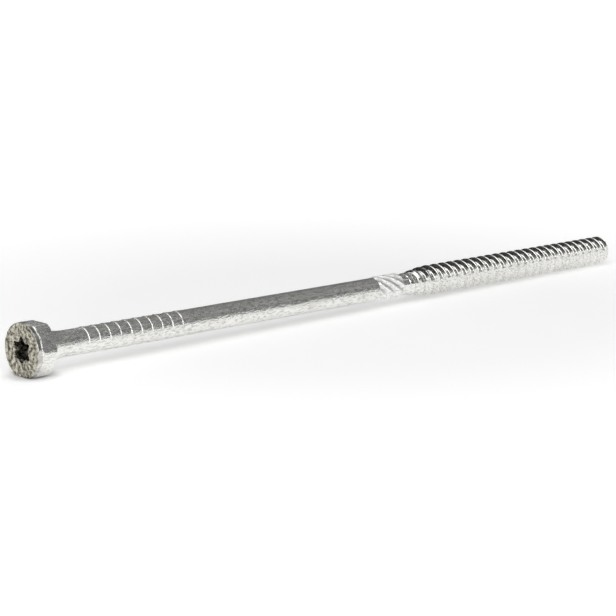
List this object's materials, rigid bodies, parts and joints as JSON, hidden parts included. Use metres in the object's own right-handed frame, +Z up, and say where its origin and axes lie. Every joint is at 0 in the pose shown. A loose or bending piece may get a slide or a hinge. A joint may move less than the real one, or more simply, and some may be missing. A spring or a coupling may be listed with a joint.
{
  "type": "construction screw",
  "caption": "Long hex-head construction screw with a round collar and a lobed drive socket, ringed shank, shank reamer, coarse half-length thread and blunt tip, for fastening heavy timber.",
  "frame": {"origin": "centre of the bounding box's footprint, on the floor that the screw lies on", "axes": "+X along the screw from the head to the tip, +Y across it, +Z up; the screw lies on one flat of its head and on the last thread crest below, so its axis drops by 0.58 degrees towards the tip"},
  "size_m": [0.257, 0.0168, 0.0151],
  "materials": {
    "plated_steel": "satin zinc plating with a mottled grain, brighter on the flats of the head and on the thread crests"
  },
  "bodies": {
    "root": {"construction_screw": "plated_steel"}
  },
  "joints": []
}
